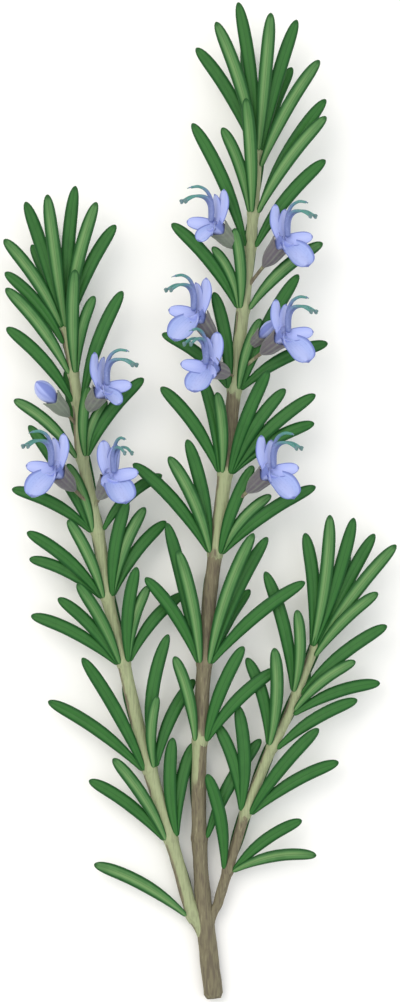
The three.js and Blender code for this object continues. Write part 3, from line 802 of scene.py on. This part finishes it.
def leaf_path(stem, height, direction, length, arch, sag, lean=0.0):
    """A leaf starts on the side of the stem that it leans to, moved upwards by lean, and bows
    towards the stem's tip."""
    node, forward, radius = stem.at(height)
    aside = direction - forward * direction.dot(forward)
    start = node + (aside.normalized() + UP * lean).normalized() * (radius + LEAF_GAP)
    tip = node + direction * length
    towards = forward - direction * direction.dot(forward)
    arch *= 0.6 + towards.length
    middle = (start + tip) / 2 + towards.normalized() * (2 * arch) + UP * (2 * sag)
    return lambda t: bow(start, middle, tip, t)


def add_leaf(piece, template, felt, path, width, tone, dice):
    """Adds one leaf along a path."""
    thickness = sizes().leaf_thickness
    roll = dice.uniform(-LEAF_ROLL, LEAF_ROLL)
    curl = dice.uniform(-LEAF_CURL, LEAF_CURL)
    shade = dice.uniform(*LEAF_SHADE)
    section_at = once(lambda share: section_frame(path, share, roll + curl * share))

    def put(x, y, z):
        centre, left, face = section_at(z)
        half_width = width / 2 * leaf_outline(z)
        half_height = thickness / 2 * (1 - 0.4 * z * z) * min(1, 0.25 + leaf_outline(z))
        point = centre + left * (x * half_width) + face * (y * half_height)
        return point, Vector((x, z, tone)), Vector((felt[(round(x, 3), round(y, 3))], shade, 0))

    piece.add(template, put)


def add_leaf_ring(piece, template, name, height):
    """The low swelling where the leaf bases of a node join the stem."""
    node, forward, radius = STEM_AXES[name].at(height)

    def line(t):
        return node + forward * (t - 0.5) * RING_LENGTH

    def profile(z, around):
        return radius - 0.12 + RING_HEIGHT * math.sin(math.pi * z) ** 1.5 + 0.05 * math.cos(6 * around)

    rod(piece, template, line, profile, (0.8 * age_and_shade_of(name, height, 0.2), 0, 0), 1)


def build_whorl(name, index, templates, dice):
    """One whorl: its node ring and its leaves."""
    leaf_template, felt, ring_template = templates
    height, leaves, tones, rear = WHORLS[name][index]
    stem, now = STEM_AXES[name], sizes()
    piece = Piece(f"{name}_whorl_{index + 1}")
    add_leaf_ring(piece, ring_template, name, height)
    for row, tone in zip(leaves, tones):
        heading, rise, length = row[:3]
        arch, slip = list(row[3:]) + [1, 0][len(row) - 3:]
        direction = leaf_direction(heading, rise)
        arch *= now.leaf_arch
        path = leaf_path(stem, height + slip, direction, length, arch, now.leaf_sag, FOOT_LEAN)
        width = now.leaf_width * (0.76 + 0.24 * smooth(14, 28, length))
        add_leaf(piece, leaf_template, felt, path, width, TONES[tone], dice)
    for heading, length in rear:
        drop = math.degrees(math.asin((stem.at(height)[0].z - REST_HEIGHT) / length))
        path = leaf_path(stem, height, leaf_direction(heading, -drop), length, 0, now.leaf_sag / 2)
        add_leaf(piece, leaf_template, felt, path, now.leaf_width, 0.0, dice)
    leaf, bark = finish_of("rosemary_leaf_waxy"), finish_of("rosemary_bark_fissured")
    piece.finish("leaf", [leaf, bark])


# Flowers ------------

TUBE_SHOWING = 2.9  # mm of a corolla's tube between the calyx and the throat
TUBE_IN_CALYX = 3.2  # mm of it inside the calyx
STALK_SUNK = 0.3  # mm that a flower's stalk starts inside the stem
BUD_HALF_LENGTH = 3.25  # mm from the mouth of a bud's calyx to the middle of its petals
BUD_SIZE = 0.75  # size of a bud's calyx next to an open flower's


class Flower:
    """Where a flower is, and its own directions: out of the throat, towards the tip, and sideways."""

    def __init__(self, stem, height, throat, turn=90.0):
        foot, _, radius = STEM_AXES[stem].at(height)
        self.throat = place_of(*throat)
        self.axis = (self.throat - foot).normalized()
        self.start = foot + self.axis * (radius - STALK_SUNK)
        self.out = Vector((math.cos(math.radians(turn)), 0, math.sin(math.radians(turn))))
        self.aside = self.out.cross(TO_TIP)

    def point(self, x, y, z):
        """A point given along out, towards the tip and sideways from the throat."""
        return self.throat + self.way(x, y, z)

    def way(self, x, y, z):
        """A direction given along out, towards the tip and sideways."""
        return self.out * x + TO_TIP * y + self.aside * z

    def line(self, points, mirror=1):
        """A smooth curve through points given in the flower's own directions."""
        places = [self.point(x, y, mirror * z) for x, y, z in points]
        return lambda t: through(places, t)


def slab(columns, rows):
    """A flat closed slab: x from -1 to 1, y from 0 to 1 and z from 0 to 1, divided in x and y."""
    mesh = bmesh.new()
    bmesh.ops.create_grid(mesh, x_segments=columns, y_segments=rows, size=1)
    for vertex in mesh.verts:
        vertex.co = Vector((vertex.co.x, (vertex.co.y + 1) / 2, 0))
    grown = bmesh.ops.extrude_face_region(mesh, geom=mesh.faces[:])["geom"]
    raised = [part for part in grown if isinstance(part, bmesh.types.BMVert)]
    bmesh.ops.translate(mesh, vec=UP, verts=raised)
    bmesh.ops.recalc_face_normals(mesh, faces=mesh.faces)
    return as_mesh(mesh, "slab")


def lobe_width(t, foot, widest):
    """Half width of a lobe along its length, as a share of its greatest."""
    if t < widest:
        return foot + (1 - foot) * math.sin(math.pi / 2 * t / widest) ** 1.3
    return max(0.07, math.sqrt(max(0.0, 1 - ((t - widest) / (1 - widest)) ** 2.6)))


def add_lobe(piece, template, root, tip, half_width, face, shape, look):
    """Adds a thin petal lobe. shape holds its foot, widest share, bend, cup, ruffle and notch."""
    foot, widest, bend, cup, ruffle, notch = shape
    forward = (tip - root).normalized()
    face = (face - forward * face.dot(forward)).normalized()
    side = face.cross(forward)
    middle = (root + tip) / 2 + face * bend * 2
    thickness = sizes().petal_thickness
    phase = look[0] * 5 + half_width

    def surface(s, t):
        along = t - notch * math.exp(-(s / 0.3) ** 2) * t ** 5
        wide = half_width * lobe_width(t, foot, widest)
        wave = ruffle * abs(s) ** 1.6 * t * math.sin(9 * t + 4 * s + phase)
        wave += ruffle * 0.6 * t ** 3 * math.sin(7 * s + phase * 2)
        lift = cup * (s * s - 0.4) * math.sin(math.pi * min(1, 0.15 + 0.8 * t))
        return bow(root, middle, tip, along) + side * (s * wide) + face * (lift + wave)

    def put(x, y, z):
        e = 0.02
        run = surface(x, min(1, y + e)) - surface(x, max(0, y - e))
        span = surface(min(1, x + e), y) - surface(max(-1, x - e), y)
        normal = span.cross(run).normalized()
        depth = thickness * (0.5 + 0.5 * (1 - abs(x)) * (1 - y * y))
        point = surface(x, y) + normal * ((z - 0.5) * depth)
        return point, Vector((x, y, z)), Vector(look)

    piece.add(template, put)


def turned(piece, template, start, axis, profile, look_of, shape=None, top=TO_TIP):
    """Adds a body turned about an axis from start. The profile holds (along, radius) rows; shape,
    if given, changes a row from the angle round the axis, which is 90 degrees at the top."""
    up = (top - axis * top.dot(axis)).normalized()
    left = up.cross(axis)
    last = len(profile) - 1

    def put(x, y, z):
        row = round(z * last)
        along, radius = profile[row]
        around = math.atan2(y, x)
        if shape:
            along, radius = shape(row, along, radius, around)
        point = start + axis * along + left * (x * radius) + up * (y * radius)
        return point, Vector((x, z, y)), Vector(look_of(row, around))

    piece.add(template, put)


def turned_template(sides, profile):
    """The template for a turned body with this profile."""
    last = len(profile) - 1
    return prism(circle(sides), [i / last for i in range(last + 1)])


CALYX_SIDES = 36
# A calyx from its foot, over its mouth and back inside: share of its length, share of its radius.
CALYX_PROFILE = [
    (0, 0.14), (0.02, 0.22), (0.09, 0.36), (0.2, 0.56), (0.34, 0.76), (0.5, 0.9), (0.66, 0.98),
    (0.8, 1.0), (0.92, 1.01), (1, 1.02), (1, 0.97), (0.9, 0.92), (0.72, 0.88), (0.5, 0.8), (0.4, 0.66),
    (0.34, 0.3),
]
CALYX_RIM = 9  # the row of the profile that is its rim
CALYX_RIBS = 13
TOOTH_LENGTH = 2.1  # mm
# The teeth: the angle of the middle, half the angle across, and the length next to the longest.
TEETH = ((28, 58, 1.0), (152, 58, 1.0), (270, 64, 0.7))
STALK_AGE = 0.62  # how old its bark looks
STALK_STATIONS = [0, 0.15, 0.3, 0.45, 0.6, 0.75, 0.85, 0.93, 1]


def tooth(around):
    """How far the calyx reaches past its mouth at an angle, as a share of its longest tooth:
    two teeth with a deep notch between them on top, and a broader one below."""
    reach = 0.0
    for middle, half, long in TEETH:
        apart = abs((math.degrees(around) - middle + 180) % 360 - 180)
        reach = max(reach, long * max(0.0, 1 - apart / half) ** 1.1)
    return reach


def add_calyx(piece, template, start, mouth, axis, scale, green):
    """Adds a calyx whose mouth is at a point, with the stalk that carries it from start."""
    now = sizes()
    length, radius = now.calyx_length * scale, now.calyx_radius * scale
    foot = mouth - axis * length
    profile = [(along * length, share * radius) for along, share in CALYX_PROFILE]

    def ribs(row, around):
        return 0.0 if row > CALYX_RIM else math.cos(CALYX_RIBS * around)

    def shape(row, along, wide, around):
        share = CALYX_PROFILE[row][0]
        rib = 0.035 * ribs(row, around) * math.sin(math.pi * min(1, share))
        reach = TOOTH_LENGTH * scale * tooth(around) * smooth(0.5, 1.0, share)
        flare = 0.3 * tooth(around) * smooth(0.7, 1, share)
        return along + reach, wide * (1 + rib + flare)

    def look_of(row, around):
        # Painted shade on the inside of the calyx.
        return green, max(0.0, ribs(row, around)) ** 2, 0.85 if row > CALYX_RIM else 0.0

    def stalk_radius(z, around):
        return scale ** 0.5 * (0.42 + 0.25 * (1 - z) ** 4 + 0.1 * z ** 6)

    turned(piece, template, foot, axis, profile, look_of, shape, UP)
    low = start + (foot - start) * 0.5 - UP * 0.4
    end = foot + axis * 0.4
    stalk = prism(circle(12), STALK_STATIONS)
    rod(piece, stalk, lambda t: bow(start, low, end, t), stalk_radius, (STALK_AGE, 0, 0), 1)


def build_calyx(name, flower, mouth, scale, green):
    """The calyx of an open flower or a bud."""
    piece = Piece(name)
    template = turned_template(CALYX_SIDES, CALYX_PROFILE)
    add_calyx(piece, template, flower.start, mouth, flower.axis, scale, green)
    piece.finish("calyx", [finish_of("rosemary_calyx_downy"), finish_of("rosemary_bark_fissured")])


# A corolla's tube from inside the calyx, over its lip and back inside: (along, radius) in mm.
TUBE_PROFILE = [
    (0, 0.5), (0.1, 0.95), (1.0, 1.25), (2.1, 1.6), (3.3, 1.85), (4.4, 1.95), (5.3, 2.1), (6.1, 2.3),
    (6.3, 2.25), (6.1, 2.0), (5.3, 1.55), (4.3, 1.1), (3.4, 0.7), (3.2, 0.2),
]
TUBE_RIM = 8  # the row of the profile that is its rim

# The lobes: root, tip, half width, face, (foot, widest, bend, cup, ruffle, notch).
# The upper lip is two lobes that part towards their tips, the one nearer the light the taller.
TALL_EAR = ((-0.9, -0.9, 0.5), (-2.2, 8.5, 1.5), 2.1, (1, 0.15, 0.1), (0.62, 0.5, -0.5, -0.5, 0.14, 0))
SHORT_EAR = ((-0.8, -0.9, 0.3), (-1.5, 7.4, 1.9), 1.9, (1, 0.15, 0.1), (0.62, 0.5, -0.5, -0.5, 0.14, 0))
# The side lobe nearer the light hangs, and the other one spreads.
HANGING_WING = ((-0.5, -0.9, 0.4), (2.6, -2.4, 4.6), 1.7, (0.8, 0.2, -0.5), (0.9, 0.4, 0.3, 0.35, 0.14, 0))
SPREAD_WING = ((-0.3, -0.7, 0.4), (4.9, 0.5, 4.7), 1.7, (0.7, 0.2, -0.7), (0.85, 0.4, 0.3, 0.35, 0.14, 0))
LOWER_LOBE = ((-0.8, -0.4, 0), (6.9, -7.2, 0), 3.9, (0.55, 0.55, 0), (0.42, 0.58, 0.5, 1.5, 0.3, 0.02))
# Their looks: blue share, freckles and shade of the inside.
UPPER_LOOK = (0.15, 0, 0)
LOWER_LOOK = (0.6, 0.12, 0)
LIGHT_TURN = 0.5  # how far the lower lobe turns its face to the light above


def build_corolla(index, flower, lobe):
    """The tube and the five lobes of an open flower."""
    piece = Piece(f"flower_{index}_corolla")
    tube = turned_template(30, TUBE_PROFILE)
    foot = flower.throat - flower.axis * (TUBE_SHOWING + TUBE_IN_CALYX)

    def squash(row, along, wide, around):
        return along, wide * (1 + 0.04 * math.cos(5 * around) * (row / TUBE_RIM))

    def look_of(row, around):
        # Painted shade inside the tube.
        return 0.1, 0, 0.35 if row > TUBE_RIM else 0.0

    turned(piece, tube, foot, flower.axis, TUBE_PROFILE, look_of, squash)
    small, large = slab(16, 18), slab(28, 28)
    near = 1 if flower.aside.z > 0 else -1
    pairs = ((near, TALL_EAR), (-near, SHORT_EAR), (near, HANGING_WING), (-near, SPREAD_WING))
    for mirror, (root, tip, half, face, shape) in pairs:
        ends = [flower.point(x, y, z * mirror) for x, y, z in (root, tip)]
        facing = flower.way(face[0], face[1], face[2] * mirror)
        add_lobe(piece, small, *ends, half, facing, shape, UPPER_LOOK)
    root, tip, half, face, shape = LOWER_LOBE
    ends = [flower.point(*root), flower.point(tip[0] * lobe, tip[1] * lobe, 0)]
    shape = shape[:2] + tuple(part * lobe for part in shape[2:5]) + shape[5:]
    facing = flower.way(*face) + UP * LIGHT_TURN
    add_lobe(piece, large, *ends, half * lobe, facing, shape, LOWER_LOOK)
    piece.finish("petal", [finish_of("rosemary_petal_matt")])


# Curves in the flower's own directions, in mm: out of the throat, towards the tip and sideways.
STAMEN = [[0.6, 0.2, 0], [0.7, 4.4, 0.4], [2.4, 6.4, 0.7], [5.6, 6.6, 0.9], [8.6, 5.2, 1]]
STYLE = [[0.6, 0.2, 0], [0.4, 4.8, 0], [1.7, 7.8, 0], [4, 9, 0], [6.3, 8.8, 0]]
FILAMENT_STATIONS = [0, 0.004, 0.012, 0.025] + [i / 26 for i in range(1, 27)]
FORK_STATIONS = [0, 0.3, 0.6, 0.85, 1]
# Half an anther, from its foot to its tip: (along, radius) in mm.
ANTHER_PROFILE = [
    (-0.7, 0.04), (-0.62, 0.2), (-0.4, 0.36), (0, 0.42), (0.3, 0.34), (0.45, 0.2), (0.5, 0.04),
]


def rounded(share, over=0.04):
    """Rounds off the foot of a rod: a share of its radius that grows from 0 over this length."""
    return max(0.12, math.sqrt(1 - (1 - min(1, share / over)) ** 2))


def build_stamens(index, flower):
    """Two arched stamens with two-celled anthers, and the longer style with its forked tip."""
    radius, aside = sizes().filament_radius, flower.aside
    piece = Piece(f"flower_{index}_stamens")
    filament, fork = prism(circle(10), FILAMENT_STATIONS), prism(circle(8), FORK_STATIONS)
    anther = turned_template(12, ANTHER_PROFILE)

    def filament_radius(z, around):
        return radius * rounded(z) * (2.1 - 1.05 * smooth(0, 0.7, z))

    def style_radius(z, around):
        return radius * rounded(z) * (1.7 - 0.75 * z)

    def fork_radius(z, around):
        return 0.2 * (1 - 0.6 * z)

    for mirror in (1, -1):
        curve = flower.line(STAMEN, mirror)
        rod(piece, filament, curve, filament_radius, reference=aside)
        end, forward = curve(1), direction_of(curve, 1)
        across = forward.cross(aside).normalized()
        for side in (-1, 1):
            cell = end - forward * 0.1 + across * (0.2 * side)
            axis = (forward + across * 0.35 * side).normalized()
            turned(piece, anther, cell, axis, ANTHER_PROFILE, lambda row, around: (0.9, 0, 0), top=aside)
    curve = flower.line(STYLE)
    rod(piece, filament, curve, style_radius, (0, 1, 0), reference=aside)
    end, forward = curve(1), direction_of(curve, 1)
    for side, long in ((1, 1.1), (-1, 0.6)):
        tip = end + (forward + aside * 0.6 * side - TO_TIP * 0.3).normalized() * long
        middle = end + forward * long * 0.5
        rod(piece, fork, lambda t: bow(end, middle, tip, t), fork_radius, (0.2, 1, 0), reference=aside)
    piece.finish("stamen", [finish_of("rosemary_filament_smooth")])


# A closed bud from its foot in the calyx to its tip: (along, radius) in mm.
BUD_PROFILE = [
    (-2.4, 0.3), (-2.3, 0.75), (-0.6, 0.95), (0.5, 1.2), (1.4, 1.5), (2.3, 1.7), (3.3, 1.74), (4.2, 1.6),
    (5.0, 1.28), (5.6, 0.9), (6.0, 0.5), (6.25, 0.1),
]
BUD_TIP = len(BUD_PROFILE) - 1
BUD_STRETCH = 1.1  # the most that a bud's length grows with its size


def build_bud_petals(index, flower, mouth, scale):
    """Petals still rolled up: a pointed egg with the swirl of their edges."""
    piece = Piece(f"bud_{index}_petals")
    profile = [(along * min(scale, BUD_STRETCH), radius * scale) for along, radius in BUD_PROFILE]

    def turn_at(row, around):
        return (around * 3 + row / BUD_TIP * 5) / 2

    def swirl(row, along, wide, around):
        fold = abs(math.sin(turn_at(row, around)))
        return along, wide * (1 + 0.09 * fold * math.sin(math.pi * row / BUD_TIP))

    def look_of(row, around):
        # Painted shade in the folds between the rolled petals.
        return 0.3, 0, 0.7 * (1 - abs(math.sin(turn_at(row, around)))) ** 3

    turned(piece, turned_template(36, profile), mouth, flower.axis, profile, look_of, swirl)
    piece.finish("petal", [finish_of("rosemary_petal_matt")])


# Stage ------------

FLOOR_REACH = 4  # m from the middle of the floor to its edges
CAMERA_PLACE = (-0.0004, 0.0, 1.4005)  # m
CAMERA_LENS = 200  # mm
SENSOR_WIDTH = 36  # mm
WORLD_STRENGTH = 0.8
# The lights: name, place in m, turn in degrees, width in m, power in W and tint.
LIGHTS = [
    ("key_light", (-0.55, 0.45, 1.1), (-22, -27, 0), 0.9, 6.8, "#fff8ee"),
    ("fill_light", (0.8, -0.2, 1.0), (8, 38, 0), 1.2, 3.0, "#eef4ff"),
    ("top_light", (0.0, 0.0, 1.6), (0, 0, 0), 1.4, 4.5, "#ffffff"),
]


def add_light(name, place, turn, width, power, tint):
    """One soft square light."""
    data = bpy.data.lights.new(name, "AREA")
    data.shape = "SQUARE"
    data.size = width
    data.energy = power
    data.color = linear(tint)[:3]
    light = add_object(name, data)
    light.location = place
    light.rotation_euler = [math.radians(a) for a in turn]


def build_stage():
    """The floor, three soft lights, a pale world and the camera above the sprig."""
    mesh = bmesh.new()
    bmesh.ops.create_grid(mesh, x_segments=1, y_segments=1, size=FLOOR_REACH)
    floor = add_object("studio_floor", as_mesh(mesh, "studio_floor"))
    floor.data.materials.append(finish_of("studio_floor_matt"))
    floor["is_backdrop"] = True
    for light in LIGHTS:
        add_light(*light)
    world = bpy.data.worlds.new("studio_world")
    world.use_nodes = True
    background = world.node_tree.nodes["Background"]
    background.inputs["Color"].default_value = linear("#ffffff")
    background.inputs["Strength"].default_value = WORLD_STRENGTH
    bpy.context.scene.world = world
    bpy.context.scene.view_settings.view_transform = "Standard"
    data = bpy.data.cameras.new("camera_above")
    data.lens = CAMERA_LENS
    data.sensor_width = SENSOR_WIDTH
    camera = add_object("camera_above", data)
    camera.location = CAMERA_PLACE
    bpy.context.scene.camera = camera


# Operators ------------


def open_flowers():
    """Each open flower's number, place, lip size and green share."""
    for number, (stem, height, throat, turn, lobe, green) in enumerate(FLOWERS, 1):
        yield number, Flower(stem, height, throat, turn), lobe, green


def closed_buds():
    """Each bud's number, place, mouth of its calyx, green share and size."""
    for number, (stem, height, middle, green, scale) in enumerate(BUDS, 1):
        bud = Flower(stem, height, middle)
        yield number, bud, bud.throat - bud.axis * (BUD_HALF_LENGTH * min(scale, BUD_STRETCH)), green, scale


class SPRIG_OT_stems(bpy.types.Operator):
    """Builds the main stem and its two side shoots"""

    bl_idname = "sprig.stems"
    bl_label = "Build stems"

    def execute(self, context):
        for name in STEMS:
            build_stem(name)
        return {"FINISHED"}


class SPRIG_OT_leaves(bpy.types.Operator):
    """Builds the leaf whorls"""

    bl_idname = "sprig.leaves"
    bl_label = "Build leaves"

    def execute(self, context):
        dice = random.Random(7)
        section, felt = leaf_section()
        ring = prism(circle(24), [i / 10 for i in range(11)])
        templates = (prism(section, LEAF_STATIONS), felt, ring)
        for name, whorls in WHORLS.items():
            for index in range(len(whorls)):
                build_whorl(name, index, templates, dice)
        return {"FINISHED"}


class SPRIG_OT_calyces(bpy.types.Operator):
    """Builds the calyces and stalks of the flowers and buds"""

    bl_idname = "sprig.calyces"
    bl_label = "Build calyces"

    def execute(self, context):
        for number, flower, _, green in open_flowers():
            mouth = flower.throat - flower.axis * TUBE_SHOWING
            build_calyx(f"flower_{number}_calyx", flower, mouth, 1.0, green)
        for number, bud, mouth, green, scale in closed_buds():
            build_calyx(f"bud_{number}_calyx", bud, mouth, BUD_SIZE * scale, green)
        return {"FINISHED"}


class SPRIG_OT_corollas(bpy.types.Operator):
    """Builds the petals of the open flowers"""

    bl_idname = "sprig.corollas"
    bl_label = "Build corollas"

    def execute(self, context):
        for number, flower, lobe, _ in open_flowers():
            build_corolla(number, flower, lobe)
        return {"FINISHED"}


class SPRIG_OT_stamens(bpy.types.Operator):
    """Builds the stamens and styles of the open flowers"""

    bl_idname = "sprig.stamens"
    bl_label = "Build stamens"

    def execute(self, context):
        for number, flower, _, _ in open_flowers():
            build_stamens(number, flower)
        return {"FINISHED"}


class SPRIG_OT_buds(bpy.types.Operator):
    """Builds the closed petals of the buds"""

    bl_idname = "sprig.buds"
    bl_label = "Build buds"

    def execute(self, context):
        for number, bud, mouth, _, scale in closed_buds():
            build_bud_petals(number, bud, mouth, scale)
        return {"FINISHED"}


class SPRIG_OT_stage(bpy.types.Operator):
    """Builds the floor, the lights and the camera"""

    bl_idname = "sprig.stage"
    bl_label = "Build stage"

    def execute(self, context):
        build_stage()
        return {"FINISHED"}


class SPRIG_PT_panel(bpy.types.Panel):
    """Lists the sprig's sizes, colours and builders"""

    bl_label = "Rosemary sprig"
    bl_idname = "SPRIG_PT_panel"
    bl_space_type = "VIEW_3D"
    bl_region_type = "UI"
    bl_category = "Sprig"

    def draw(self, context):
        for group in (context.scene.sprig_sizes, context.scene.sprig_colours):
            for name in group.__annotations__:
                self.layout.prop(group, name)
        for builder in BUILDERS:
            self.layout.operator(builder.bl_idname)


BUILDERS = (SPRIG_OT_stems, SPRIG_OT_leaves, SPRIG_OT_calyces, SPRIG_OT_corollas, SPRIG_OT_stamens,
            SPRIG_OT_buds, SPRIG_OT_stage)
GROUPS = {"sprig_sizes": SprigSizes, "sprig_colours": SprigColours}


def register():
    """Registers the properties, operators and panel."""
    for part in (*GROUPS.values(), *BUILDERS, SPRIG_PT_panel):
        bpy.utils.register_class(part)
    for name, group in GROUPS.items():
        setattr(bpy.types.Scene, name, bpy.props.PointerProperty(type=group))


def unregister():
    """Takes back what register() added."""
    for name in GROUPS:
        delattr(bpy.types.Scene, name)
    for part in (SPRIG_PT_panel, *reversed(BUILDERS), *GROUPS.values()):
        bpy.utils.unregister_class(part)


def plain(bounds):
    """Bounds as plain lists."""
    return [list(corner) for corner in bounds]


def main():
    """Builds the sprig and its stage."""
    register()
    for builder in BUILDERS:
        group, name = builder.bl_idname.split(".")
        getattr(getattr(bpy.ops, group), name)()
    {"frame": plain((CAD_LOW, CAD_HIGH)), "built": plain(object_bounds())}


if __name__ == "__main__":
    main()
